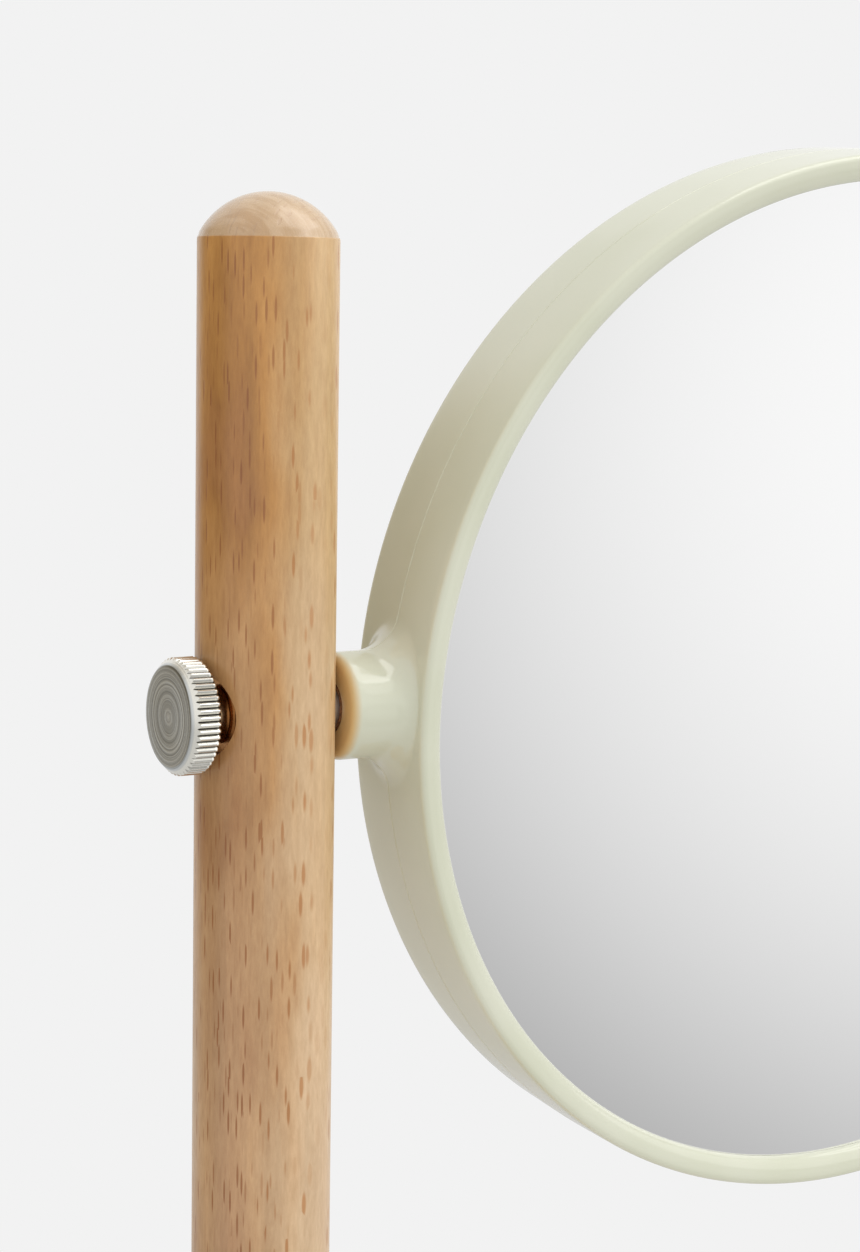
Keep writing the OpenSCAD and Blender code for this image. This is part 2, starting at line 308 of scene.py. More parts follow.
def beech(name, turn, rays_and_lit_side, dark_at, pale_at, low, high, end):
    """Lacquered beech, in metres. turn carries the grain to the local Z and the angle after it, in degrees,
    is the way the rays run and the way the painted light falls. Along that way it goes from dark_at to
    pale_at, painted shade on the side away from the lamps and a paler, less saturated painted sheen on the
    side towards them;
    up the grain from low (rosy) to high (golden), and past end it is pale end grain."""
    f = Finish(name)
    axes = f.place(rotation=turn)
    split = f.add("Mapping", {"Vector": axes, "Rotation": (0, 0, math.radians(rays_and_lit_side))}).outputs[0]

    def stretched(across, deep, along):
        return f.add("Mapping", {"Vector": split, "Scale": (across, deep, along)}).outputs[0]

    streak = f.noise(stretched(190, 90, 9), 1.0, 4.0, 0.62)
    blotch = f.noise(stretched(85, 85, 26), 1.0, 2.0)
    mottle = f.noise(stretched(1300, 1000, 240), 1.0, 4.0, 0.7)
    parts = f.add("SeparateXYZ", {"Vector": split}).outputs
    swing = min(abs(dark_at - pale_at) * 0.25, 0.02)
    wander = f.math("ADD", parts["Y"], f.ramp(blotch, 0.3, 0.7, -swing, swing, False))
    # painted light: pale carries the tone across the piece from dark_at to pale_at, painted shade on the side
    # away from the lamps and a paler painted sheen on the side towards them
    pale = f.ramp(wander, dark_at, pale_at, smooth=False)
    golden = f.ramp(f.math("ADD", parts["Z"], f.ramp(blotch, 0.3, 0.7, -0.03, 0.03, False)), low, high)
    # tones for the painted shade side, the middle and the painted lit side, each going from rosy low down to
    # golden high up
    dark = f.mix(golden, (0.45, 0.255, 0.125, 1), (0.345, 0.150, 0.030, 1))
    amber = f.mix(golden, (0.57, 0.345, 0.170, 1), (0.52, 0.250, 0.062, 1))
    light = f.mix(golden, (0.66, 0.460, 0.270, 1), (0.63, 0.410, 0.190, 1))
    ground = f.mix(f.ramp(pale, 0.0, 0.4, smooth=False), dark, amber)
    ground = f.mix(f.ramp(pale, 0.4, 1.0, smooth=False), ground, light)
    rosy = f.math("MULTIPLY", f.ramp(blotch, 0.50, 0.72, 0.0, 0.22), f.ramp(pale, 0.0, 1.0, 1.0, 0.3))
    ground = f.mix(rosy, ground, (0.43, 0.19, 0.09, 1))
    ground = f.mix(1.0, ground, f.ramp(streak, 0.25, 0.75, 0.88, 1.12), "MULTIPLY")
    ground = f.mix(1.0, ground, f.mix(mottle, (0.76, 0.66, 0.56, 1), (1.22, 1.28, 1.34, 1)), "MULTIPLY")

    lattice = stretched(830, 480, 215)
    cells = f.add("TexVoronoi", {"Vector": lattice, "Scale": 1.0, "Randomness": 0.9})
    apart = f.add("VectorMath", {0: lattice, 1: cells.outputs["Position"]}, operation="SUBTRACT")
    slim = f.add("VectorMath", {0: apart.outputs[0], 1: (6.2, 2.7, 2.0)}, operation="MULTIPLY")
    reach = f.add("VectorMath", {0: slim.outputs[0]}, operation="LENGTH").outputs["Value"]
    chance = f.add("SeparateXYZ", {"Vector": cells.outputs["Color"]}).outputs["X"]
    fleck = f.math("MULTIPLY", f.ramp(reach, 1.2, 0.6), f.ramp(chance, 0.1, 0.6, 0.15, 1.0))
    # the flecks thin out and pale on the painted lit side
    share = f.math("MULTIPLY", fleck, f.ramp(pale, 0.0, 1.0, 0.88, 0.80))
    ground = f.mix(share, ground, f.mix(pale, (0.26, 0.085, 0.015, 1), (0.46, 0.19, 0.045, 1)))

    rings = f.noise(stretched(230, 1500, 1), 1.0, 3.0)
    cut_end = f.mix(f.ramp(rings, 0.35, 0.65), (0.48, 0.33, 0.195, 1), (0.58, 0.43, 0.28, 1))
    ground = f.mix(f.ramp(parts["Z"], end - 0.0002, end, 0.0, 0.75, False), ground, cut_end)

    pores = f.noise(stretched(5200, 5200, 700), 1.0, 1.0)
    satin = f.math("MULTIPLY", f.ramp(parts["Z"], end - 0.0002, end, 1.0, 0.5, False), 0.5)
    rough = f.math("ADD", satin, f.ramp(pores, 0.3, 0.8, -0.06, 0.06))
    height = f.math("SUBTRACT", f.math("MULTIPLY", f.math("ADD", pores, mottle), 0.35), fleck)
    f.set(Base_Color=ground, Roughness=rough, Normal=f.bump(height, 0.00004, 0.6))
    f.set(Specular_IOR_Level=0.5, Coat_Weight=0.5, Coat_Roughness=0.2, Coat_IOR=1.5)
    return f.material


def plastic():
    """Glossy plastic of the ring, faintly clouded, not quite flat, and with a painted amber reflection of the
    wood at the boss's end.
    """
    f = Finish("cream_gloss_plastic")
    cloud = f.noise(f.place(), 38.0, 2.0)
    base = f.mix(f.ramp(cloud, 0.3, 0.7), (0.625, 0.638, 0.492, 1), (0.665, 0.674, 0.540, 1))
    from_post = f.add("SeparateXYZ", {"Vector": f.place()}).outputs["X"]
    # painted reflection: the boss's end that faces the post is tinted amber as if lit by the wood
    amber = f.ramp(from_post, BOSS_X * MM, (BOSS_X + BOSS_WOOD_REFLECTION) * MM, 1.0, 0.0)
    base = f.mix(amber, base, (0.70, 0.50, 0.23, 1))
    swell = f.noise(f.place(), 55.0, 1.0)
    skin = f.noise(f.place(), 70.0, 1.0)
    f.set(Base_Color=base, Roughness=f.ramp(skin, 0.3, 0.7, 0.05, 0.08), Normal=f.bump(swell, 0.0006, 0.08))
    f.set(IOR=1.62)
    return f.material


def nickel(name, centre, node):
    """Nickel plate over turned brass, for the thumb screw whose axis runs along X through centre: tool rings,
    painted shade in the grooves between the ribs, and a brass tone on the collar and the shank that is a
    painted reflection of the warm wood beside them."""
    f = Finish(name)
    point = f.place(location=tuple(-c for c in centre))
    parts = f.add("SeparateXYZ", {"Vector": point}).outputs
    squares = f.math("ADD", f.math("POWER", parts["Y"], 2.0), f.math("POWER", parts["Z"], 2.0))
    radius = f.math("SQRT", squares)
    across = {"W": f.math("MULTIPLY", radius, 1300.0), "Scale": 1.0, "Detail": 4.0, "Roughness": 0.7}
    rings = f.add("TexNoise", across, noise_dimensions="1D").outputs["Fac"]
    cloud = f.noise(f.place(), 420.0, 3.0)
    face_x = low_mm(node).x * MM - centre.x
    turned = f.mix(f.ramp(rings, 0.35, 0.65), (0.35, 0.36, 0.35, 1), (0.72, 0.735, 0.725, 1))
    plate = f.mix(f.ramp(parts["X"], face_x + 0.0003, face_x + 0.0006), turned, (0.84, 0.82, 0.75, 1))
    behind_chamfer = f.math("SUBTRACT", f.math("SUBTRACT", parts["X"], radius), face_x - FACE_R * MM)
    # painted shade: the grooves between the ribs, behind the chamfer, are painted near black
    groove_shade = f.math("MULTIPLY", f.ramp(behind_chamfer, 0.00012, 0.00030),
                    f.ramp(radius, (KNOB_R - 0.32) * MM, (KNOB_R - 0.52) * MM))
    groove_shade = f.math("MULTIPLY", groove_shade, f.ramp(parts["X"], face_x + 0.0004, face_x + 0.0007))
    tone = f.mix(groove_shade, plate, (0.075, 0.068, 0.052, 1))
    # painted reflection: past the knob the collar and the shank take a brass tone that stands for the warm
    # wood reflected in them
    warm_reflection_from = face_x + KNOB_H * MM
    tone = f.mix(f.ramp(parts["X"], warm_reflection_from - 0.0001, warm_reflection_from, 0.0, 1.0, False), tone, (0.47, 0.315, 0.175, 1))
    f.set(Base_Color=tone, Metallic=1.0, Roughness=f.ramp(cloud, 0.3, 0.7, 0.13, 0.22))
    f.set(Normal=f.bump(rings, 0.00006, 0.8))
    return f.material


def turned_metal(name, tone, rough, rings_per_mm=1.2, axis="Z"):
    """Plain turned or drawn metal with fine marks across an axis."""
    f = Finish(name)
    scale = {"X": (2200, 60, 60), "Z": (60, 60, 2200)}[axis]
    marks = f.noise(f.place(tuple(s * rings_per_mm for s in scale)), 1.0, 2.0)
    f.set(Base_Color=tone, Metallic=1.0, Roughness=f.ramp(marks, 0.3, 0.7, rough, rough + 0.08))
    f.set(Normal=f.bump(marks, 0.00001, 0.3))
    return f.material


def matt(name, tone, rough, grain, depth, spread=0.85):
    """Rubber, nylon, foam or fibre: a tone broken by a fine grain."""
    f = Finish(name)
    noise = f.noise(f.place(), grain, 3.0, 0.6)
    darker = tuple(c * spread for c in tone[:3]) + (1,)
    f.set(Base_Color=f.mix(f.ramp(noise, 0.35, 0.7), darker, tone))
    f.set(Roughness=f.ramp(noise, 0.3, 0.7, rough, min(rough + 0.1, 1.0)), Normal=f.bump(noise, depth, 0.5))
    return f.material


def mirror_glass():
    """Silvered glass, with the faintest haze."""
    f = Finish("silvered_glass")
    haze = f.noise(f.place(), 24.0, 3.0)
    f.set(Base_Color=(0.955, 0.955, 0.955, 1), Metallic=1.0, Roughness=f.ramp(haze, 0.3, 0.7, 0.012, 0.022))
    return f.material


# painted light: each wood is graded from a painted shaded side to a paler painted lit side
WOOD_POST = beech("beech_post", (0, 0, 0), -118, 0.0130, 0.0035, 0.24, 0.37, (POST_TOP - DOME_H) * MM)
WOOD_BASE = beech("beech_base", (0, math.pi / 2, 0), 80, 0.12, -0.08, -0.20, 0.12, 1.0)
PLASTIC = plastic()
NICKEL_TILT = nickel("nickel_tilt_screw", PIVOT, "tilt_screw")
NICKEL_CLAMP = nickel("nickel_clamp_screw", CLAMP_AXIS, "clamp_screw")
NICKEL_TURNED = turned_metal("nickel_turned", (0.68, 0.665, 0.62, 1), 0.14)
CHROME = turned_metal("chrome_tube", (0.66, 0.67, 0.69, 1), 0.05, 0.3)
STEEL = turned_metal("plain_steel", (0.52, 0.53, 0.55, 1), 0.28)
BRASS = turned_metal("turned_brass", (0.62, 0.36, 0.17, 1), 0.24, 1.0, "X")
RUBBER = matt("black_rubber", (0.035, 0.035, 0.037, 1), 0.7, 900.0, 0.00005)
NYLON = matt("nylon", (0.80, 0.78, 0.70, 1), 0.42, 1200.0, 0.00001, 0.95)
FOAM = matt("grey_foam", (0.16, 0.16, 0.17, 1), 0.9, 1500.0, 0.0003, 0.6)
FIBRE = matt("red_fibre", (0.42, 0.19, 0.075, 1), 0.5, 1800.0, 0.00008, 0.45)
GLASS = mirror_glass()


# ---- Mirror ----

def wall_radius(y):
    """Radius of the ring's outer wall at a distance from its mid-plane."""
    return RING_R - RING_DRAFT * abs(y) / RING_HALF


def ring_point(r, y, theta):
    """A point of the ring in the tilting frame: theta is 0 at the boss and grows towards +Z."""
    return Vector((RING_X - r * math.cos(theta), y, r * math.sin(theta)))


RING_STEPS = 288
PATCH_STEPS = 8
WALL_ROWS = 7
GLASS_STEPS = 240


def boss_column(edge, seam_side):
    """Points from the patch's edge in over the flare, the boss and its end, in one plane through the tilt
    axis. seam_side is True for the column that lies in the parting plane, sunk by the seam's chamfer."""
    y, z = edge.y, edge.z
    angle = math.atan2(-y, z)
    across, up = -math.sin(angle), math.cos(angle)
    reach = math.hypot(y, z)
    outline = 1 / math.hypot(up / FLARE_TOP, across / FLARE_SIDE)
    height = FLARE_H + FLARE_RIDGE * up * up

    def wall_x(rho):
        yy, zz = rho * across, rho * up
        return RING_X - math.sqrt(wall_radius(yy) ** 2 - zz * zz)

    on_wall = [reach + (outline - reach) * i / 4 for i in range(4)]
    line = [(rho, wall_x(rho)) for rho in on_wall]
    for i in range(12, -1, -1):
        psi = math.radians(90 * i / 12)
        rho = BOSS_R + (outline - BOSS_R) * (1 - math.cos(psi))
        line.append((rho, wall_x(rho) - height * (1 - math.sin(psi))))
    root = line[-1][1]
    rim = BOSS_X + BOSS_RIM
    line += [(BOSS_R, root + (rim - root) * i / 5) for i in range(1, 5)]
    line += [(r, x) for r, x in arc(BOSS_R - BOSS_RIM, rim, BOSS_RIM, BOSS_RIM, 0, -90, 7)]
    line += [(6.6, BOSS_X), (RECESS_R + 0.35, BOSS_X), (RECESS_R, BOSS_X + 0.35)]
    outer = len(line)
    pocket = [(RECESS_R, BOSS_X + 3), (RECESS_R, POCKET_X)]
    if seam_side:
        sunk = []
        for i, (r, x) in enumerate(line):
            r0, x0 = line[max(i - 1, 0)]
            r1, x1 = line[min(i + 1, outer - 1)]
            along = Vector((r1 - r0, x1 - x0)).normalized()
            sunk.append((r + along.y * SEAM, x - along.x * SEAM))
        sunk[-1] = (RECESS_R, BOSS_X + 0.35 + SEAM)
        line = sunk
    return line + pocket, outer, across, up


def frame_half(name, side, node):
    """Half of the ring with half of the boss. side is -1 for the front half and 1 for the rear half."""
    bm = bmesh.new()
    place = in_tilt()
    made = {}

    def vert(p, on_seam):
        y = 0.0 if on_seam else p.y
        key = tuple(round(c, 4) for c in (p.x, y, p.z))
        if key not in made:
            made[key] = bm.verts.new(place @ Vector((p.x, y * -side, p.z)) * MM)
        return made[key]

    def quad(*corners):
        corners = list(dict.fromkeys(corners))
        if len(corners) > 2:
            bm.faces.new(corners)

    # the wall's rows, from the parting line to the corner before the lip
    corner_y = -(RING_HALF - LIP_CREST)
    rows = [-SEAM + (corner_y + SEAM) * i / WALL_ROWS for i in range(WALL_ROWS + 1)]
    lip_w = RING_R - RING_DRAFT - LIP_CREST - SIGHT_R
    lip_h = RING_HALF - GLASS_DEPTH
    centre_r = RING_R - RING_DRAFT - LIP_CREST
    lip = arc(centre_r, corner_y, LIP_CREST, -LIP_CREST, 0, 90, 6)
    lip[0] = (wall_radius(corner_y), corner_y)
    lip += arc(centre_r, -GLASS_DEPTH - 0.25, lip_w, -(lip_h - 0.25), 90, 180, 14)[1:]
    lip += [(SIGHT_R, -GLASS_DEPTH), (RING_IN_R, -GLASS_DEPTH), (RING_IN_R, -4.0), (RING_IN_R, 0.0)]

    turn = 2 * math.pi / RING_STEPS
    for i in range(RING_STEPS):
        a, b = i * turn, (i + 1) * turn
        for (r0, y0), (r1, y1) in zip(lip, lip[1:]):
            seams = (y0 == 0.0, y1 == 0.0)
            quad(vert(ring_point(r0, y0, a), seams[0]), vert(ring_point(r1, y1, a), seams[1]),
                 vert(ring_point(r1, y1, b), seams[1]), vert(ring_point(r0, y0, b), seams[0]))
        if PATCH_STEPS <= i < RING_STEPS - PATCH_STEPS:
            for y0, y1 in zip(rows, rows[1:]):
                r0, r1 = wall_radius(y0), wall_radius(y1)
                quad(vert(ring_point(r0, y0, a), False), vert(ring_point(r1, y1, a), False),
                     vert(ring_point(r1, y1, b), False), vert(ring_point(r0, y0, b), False))
            sunk = wall_radius(0) - SEAM
            top = wall_radius(rows[0])
            quad(vert(ring_point(sunk, 0, a), True), vert(ring_point(top, rows[0], a), False),
                 vert(ring_point(top, rows[0], b), False), vert(ring_point(sunk, 0, b), True))

    # the patch round the boss: its edge runs down the rows, along the corner and up the rows again
    up_angle = PATCH_STEPS * turn
    edge = [ring_point(wall_radius(y), y, up_angle) for y in rows]
    corner_r = wall_radius(corner_y)
    edge += [ring_point(corner_r, corner_y, up_angle - i * turn) for i in range(1, 2 * PATCH_STEPS)]
    edge += [ring_point(wall_radius(y), y, -up_angle) for y in reversed(rows)]
    columns = []
    for index, p in enumerate(edge):
        line, _, across, up = boss_column(p, False)
        points = [Vector((x, r * across, r * up)) for r, x in line]
        points[0] = p
        if index in (0, len(edge) - 1):  # beside the seam the column stays square to the parting plane
            flat, outer, _, sign = boss_column(Vector((p.x, -1e-9, p.z)), False)
            points = [Vector((x, -SEAM if k < outer else 0.0, r * sign)) for k, (r, x) in enumerate(flat)]
            points[0] = p
        columns.append([vert(q, q.y == 0.0) for q in points])
    for end, column in ((0, columns[0]), (-1, columns[-1])):
        p = edge[end]
        line, outer, _, sign = boss_column(Vector((p.x, -1e-9, p.z)), True)
        points = [Vector((x, 0.0, r * sign)) for r, x in line]
        points[0] = ring_point(wall_radius(0) - SEAM, 0, up_angle if end == 0 else -up_angle)
        seam = [vert(q, True) for q in points]
        for k in range(outer):
            quad(seam[k], seam[k + 1], column[k + 1], column[k])
    for one, two in zip(columns, columns[1:]):
        for k in range(len(one) - 1):
            quad(one[k], one[k + 1], two[k + 1], two[k])
        centre = vert(Vector((POCKET_X, 0, 0)), True)
        quad(one[-1], centre, two[-1])

    bmesh.ops.recalc_face_normals(bm, faces=bm.faces)
    rim = [e for e in bm.edges if len(e.link_faces) == 1]
    bmesh.ops.triangle_fill(bm, edges=rim, use_beauty=True)
    return finish_mesh(bm, name, "mirror", PLASTIC, [node])


def magnifier():
    """Concave glass: both faces are spherical round one centre behind the ring."""
    edge = math.sqrt(MAGNIFIER_R ** 2 - GLASS_R ** 2)

    def sag(radius, r):
        return -(GLASS_DEPTH - 0.05 + edge) + math.sqrt(radius ** 2 - r * r)

    steps = 40
    hollow = [(GLASS_R * i / steps, sag(MAGNIFIER_R, GLASS_R * i / steps)) for i in range(steps)]
    rim = [(GLASS_R - 0.3, sag(MAGNIFIER_R, GLASS_R - 0.3)), (GLASS_R, sag(MAGNIFIER_R, GLASS_R) + 0.3)]
    back = [(GLASS_R * (steps - i) / steps, sag(MAGNIFIER_R + GLASS_T, GLASS_R * (steps - i) / steps))
            for i in range(steps + 1)]
    lathe("magnifying_glass", hollow[:-1] + rim + back, "mirror", GLASS,
          ["magnifying_mirror"], in_ring(), GLASS_STEPS)


def plane_glass():
    """Plane glass with a finely ground edge."""
    top = GLASS_DEPTH - 0.05
    flat = GLASS_R - 0.3
    rings = [(flat * i / 12, top) for i in range(13)]
    rings += [(GLASS_R, top - 0.3), (GLASS_R, top - GLASS_T + 0.3)]
    rings += [(flat, top - GLASS_T), (0, top - GLASS_T)]
    lathe("plane_glass", rings, "mirror", GLASS, ["plane_mirror"], in_ring(), GLASS_STEPS)


frame_half("ring_front", -1, "mirror_frame_front")
frame_half("ring_rear", 1, "mirror_frame_rear")
plane_glass()
magnifier()


# ---- Post ----

def cut(piece, tool):
    """Takes one closed mesh out of another and throws the tool away."""
    modifier = piece.modifiers.new("cut", "BOOLEAN")
    modifier.operation = "DIFFERENCE"
    modifier.solver = "EXACT"
    modifier.object = tool
    bpy.context.view_layer.update()
    shape = piece.evaluated_get(bpy.context.evaluated_depsgraph_get())
    mesh = bpy.data.meshes.new_from_object(shape)
    piece.modifiers.clear()
    piece.data = mesh
    bpy.data.objects.remove(tool)


def cutter(bm):
    """Makes a closed mesh an object to cut with."""
    bmesh.ops.recalc_face_normals(bm, faces=bm.faces)
    mesh = bpy.data.meshes.new("tool")
    bm.to_mesh(mesh)
    bm.free()
    tool = bpy.data.objects.new("tool", mesh)
    bpy.context.scene.collection.objects.link(tool)
    return tool


def hole_tool(radius, start, end, lip):
    """A cutter along X whose mouth follows the post's surface on its left and rounds the hole's edge."""
    bm = bmesh.new()
    steps = 72
    place = Matrix.Translation((0, 0, PIVOT.z / MM))
    loops = []
    for i in range(steps):
        a = 2 * math.pi * i / steps
        across, up = math.cos(a), math.sin(a)

        def ring(r, x):
            return place @ Vector((x, r * across, r * up))

        mouth = -math.sqrt(POST_R ** 2 - (radius * across) ** 2)
        points = [ring(radius + lip * 1.6, start)]
        points.append(ring(radius + lip * 1.6, mouth - lip * 0.35 + (start - mouth) * 0.02))
        for t in range(5):
            b = math.radians(18 + 72 * t / 4)
            points.append(ring(radius + lip * (1 - math.sin(b)), mouth + lip * (1 - math.cos(b))))
        points.append(ring(radius, end))
        loops.append([bm.verts.new(p * MM) for p in points])
    for i in range(steps):
        one, two = loops[i], loops[(i + 1) % steps]
        for k in range(len(one) - 1):
            bm.faces.new((one[k], one[k + 1], two[k + 1], two[k]))
    bm.faces.new([loop[0] for loop in loops])
    bm.faces.new([loop[-1] for loop in reversed(loops)])
    return cutter(bm)


def plain_tool(radius, start, end, z, steps):
    """A straight cutter along X at the height z."""
    bm = bmesh.new()
    reach = end - start
    revolve(bm, [(0, 0), (radius, 0), (radius, reach), (0, reach)], along_x(start, z), steps)
    bmesh.ops.remove_doubles(bm, verts=bm.verts, dist=1e-6)
    return cutter(bm)


def shade(piece, sharp):
    """Smooth faces with sharp edges kept, after a cut."""
    bm = bmesh.new()
    bm.from_mesh(piece.data)
    for face in bm.faces:
        face.smooth = True
    for e in bm.edges:
        e.smooth = not (len(e.link_faces) == 2 and e.calc_face_angle() > math.radians(sharp))
    bm.to_mesh(piece.data)
    bm.free()


def post():
    """The wooden post with its domed end, bored from below and drilled across."""
    crease = POST_TOP - DOME_H
    dome_r = (POST_R ** 2 + DOME_H ** 2) / (2 * DOME_H)
    start = math.degrees(math.asin(POST_R / dome_r))
    angles = [math.radians(start * i / 16) for i in range(15, -1, -1)]
    dome = [(dome_r * math.sin(a), POST_TOP - dome_r + dome_r * math.cos(a)) for a in angles]
    dome[-1] = (0.0, POST_TOP)
    straight = [(POST_R, POST_BOTTOM + (crease - 0.5 - POST_BOTTOM) * i / 24) for i in range(25)]
    edge = [(POST_R - 0.03, crease - 0.2), (POST_R - 0.16, crease)]
    profile = [(0.0, POST_BORE_TOP), (POST_BORE_R, POST_BORE_TOP), (POST_BORE_R, POST_BOTTOM)]
    profile += straight + edge + dome
    piece = lathe("wooden_post", profile, "post", WOOD_POST, ["post"], steps=144)
    cut(piece, hole_tool(COUNTERBORE_R, -POST_R - 3, COUNTERBORE_X, 0.45))
    cut(piece, plain_tool(SLEEVE_R, COUNTERBORE_X - 1, POST_R + 2, PIVOT.z / MM, 48))
    shade(piece, 26)


post()


# ---- Thumb screws ----

def knurl(angle):
    """Share of the rib's depth at an angle: rounded crests between narrow grooves."""
    wave = 0.5 + 0.5 * math.cos(RIBS * angle)
    return wave ** 0.6


def thumb_screw(name, body, finish, node, seat, axis_z, shank):
    """A knurled head with a collar and a threaded shank along +X. seat is where the collar ends."""
    steps = RIBS * 8
    place = along_x(seat, axis_z)
    back = -COLLAR_H
    front = back - KNOB_H
    root = KNOB_R - RIB_DEPTH
    cone = FACE_R - front - 0.12  # radius of the chamfer at height zero, which grows as fast as the height
    dish = [(0.0, front + 0.10), (3.0, front + 0.085), (6.0, front + 0.04), (FACE_R - 0.35, front + 0.005)]
    dish += [(FACE_R - 0.12, front + 0.02), (FACE_R, front + 0.12)]
    tail = [(root - 0.6, back), (COLLAR_R + 0.3, back), (COLLAR_R, back + 0.15)]
    tail += [(COLLAR_R, -0.3), (COLLAR_R - 0.3, 0), (SHANK_R, 0.0), (SHANK_R, 1.2)]
    turns = int((shank - 2.2) / THREAD_PITCH)
    for i in range(turns):
        h = 1.4 + i * THREAD_PITCH
        valley = SHANK_R - THREAD_DEPTH
        tail += [(SHANK_R, h + 0.1), (SHANK_R, h + 0.2), (valley, h + 0.5), (valley, h + 0.58)]
    tail += [(SHANK_R, shank - 0.75), (SHANK_R - 0.6, shank), (0.0, shank)]
    bm = bmesh.new()
    columns = []
    for i in range(steps):
        a = 2 * math.pi * i / steps
        out = root + (KNOB_R - root) * knurl(a)
        meet = out - cone
        line = dish + [(out - 0.25, meet - 0.25), (out, meet), (out, meet + 0.6), (out, back - 0.9)]
        line += [(out, back - 0.6), (out - 0.22, back - 0.28), (root - 0.3, back - 0.05)] + tail
        points = [place @ Vector((r * math.cos(a), r * math.sin(a), h)) for r, h in line]
        columns.append([bm.verts.new(p * MM) for p in points])
    for i in range(steps):
        one, two = columns[i], columns[(i + 1) % steps]
        for k in range(len(one) - 1):
            corners = [one[k], one[k + 1], two[k + 1], two[k]]
            if k == 0:
                corners = [one[0], one[1], two[1]]
            elif k == len(one) - 2:
                corners = [one[k], one[k + 1], two[k]]
            bm.faces.new(corners)
    return finish_mesh(bm, name, body, finish, [node], 38.0)


def screw_places(node):
    """Where a thumb screw's collar ends, and how long its shank is."""
    low, high = low_mm(node), high_mm(node)
    seat = low.x + KNOB_H + COLLAR_H
    return seat, high.x - seat


for label, owner, metal, cad, axis in (
    ("tilt_thumb_screw", "tilt_screw", NICKEL_TILT, "tilt_screw", PIVOT),
    ("clamp_thumb_screw", "clamp_screw", NICKEL_CLAMP, "clamp_screw", CLAMP_AXIS),
):
    place_x, length = screw_places(cad)
    thumb_screw(label, owner, metal, cad, place_x, axis.z / MM, length)


# ---- Stand ----

def base():
    """Turned wooden base, hollow below for its weight, with a soft top edge."""
    low, high = low_mm("base_disc").z, high_mm("base_disc").z
    r = size_mm("base_disc").x / 2
    weight = size_mm("ballast_plate").x / 2 + 0.3
    weight_top = high_mm("ballast_plate").z + 0.2
    seat = low_mm("stand_tube").z
    tube = size_mm("stand_tube").x / 2 + 0.05
    outline = [(4.4, weight_top), (weight, weight_top), (weight, low), (r - 4, low), (r, low + 1.6, 2.2),
               (r, high, 4.5), (tube, high, 0.3), (tube, seat), (4.4, seat)]
    profile = rounded(outline, 0.0, 8)
    lathe("wooden_base", profile, "stand", WOOD_BASE, ["base_disc"], steps=256, closed=True)


def collar():
    """Turned collar on the base round the tube, with softened edges."""
    low, high = low_mm("base_collar").z, high_mm("base_collar").z
    r = size_mm("base_collar").x / 2
    inner = size_mm("stand_tube").x / 2 + 0.05
    outline = [(inner, low), (r, low, COLLAR_EDGE), (r, high, COLLAR_EDGE), (inner, high)]
    lathe("nickel_base_collar", rounded(outline, 0.0, 6), "stand", NICKEL_TURNED,
          ["base_collar"], steps=160, closed=True)


def ferrule():
    """Nickel ferrule: a socket for the post above, the guide bush's housing below, and a tapped hole."""
    low, high = low_mm("post_ferrule").z, high_mm("post_ferrule").z
    r = size_mm("post_ferrule").x / 2
    bush = size_mm("guide_bush").x / 2 + 0.05
    tube = size_mm("stand_tube").x / 2 + 0.4
    outline = [(tube, low), (r, low, 1.2), (r, high - 4.4, 0.15), (r - 0.35, high - 4.2, 0.15),
               (r - 0.35, high - 3.6, 0.15), (r, high - 3.4, 0.15), (r, high, 1.1), (POST_R + 0.02, high),
               (POST_R + 0.02, POST_BOTTOM), (bush, POST_BOTTOM), (bush, low + 1.5), (tube, low + 1.5)]
    piece = lathe("nickel_ferrule", rounded(outline, 0.0, 6), "post", NICKEL_TURNED,
                  ["post_ferrule"], steps=160, closed=True)
    cut(piece, plain_tool(TAPPED_R, -r - 2, 2 - bush, CLAMP_AXIS.z / MM, 40))
    shade(piece, 30)


def tube():
    """Chromed tube with a softened upper end."""
    low, high = low_mm("stand_tube").z, high_mm("stand_tube").z
    r = size_mm("stand_tube").x / 2
    bore = r - TUBE_WALL
    outline = [(bore, low), (r, low), (r, high, 0.4), (bore, high, 0.4)]
    lathe("chromed_tube", rounded(outline, 0.0, 4), "stand", CHROME,
          ["stand_tube"], steps=128, closed=True)


def pad():
    """Ribbed rubber pad under the base."""
    r = size_mm("base_pad").x / 2
    high = high_mm("base_pad").z
    bottom = [(0.0, 0.0)]
    for i in range(1, 17):
        at = r * i / 18
        bottom += [(at - 0.6, 0.0), (at - 0.3, 0.35), (at + 0.3, 0.35), (at + 0.6, 0.0)]
    outline = bottom + [(r - 0.5, 0.0), (r, 0.5), (r, high), (0.0, high)]
    lathe("rubber_pad", outline, "stand", RUBBER, ["base_pad"], steps=192)


base()
tube()
pad()
ferrule()
collar()

for node, metal in {
    "ballast_plate": STEEL, "base_washer": STEEL, "base_bolt": STEEL, "tube_foot_plug": STEEL,
    "tube_top_guide": NYLON, "guide_bush": NYLON, "pivot_sleeve": STEEL, "clamp_pad": BRASS,
    "tilt_screw_washer": BRASS, "spacer_ring": NYLON, "backing_foam": FOAM, "thread_insert": BRASS,
    "friction_washer": FIBRE,
}.items():
    frame["nodes"][node].data.materials.clear()
    frame["nodes"][node].data.materials.append(metal)


# ---- Stage ----

WHITE = 0.888          # strength of the background that the camera sees
FLOOR_SHADED = 0.22    # metres from the object's axis where the lit floor starts to turn into the background
FLOOR_WHITE = 0.62     # where it has turned into it
FLAG_LEVEL = 0.21      # strength of the dark flag
WARM = (1, 0.86, 0.62, 1)


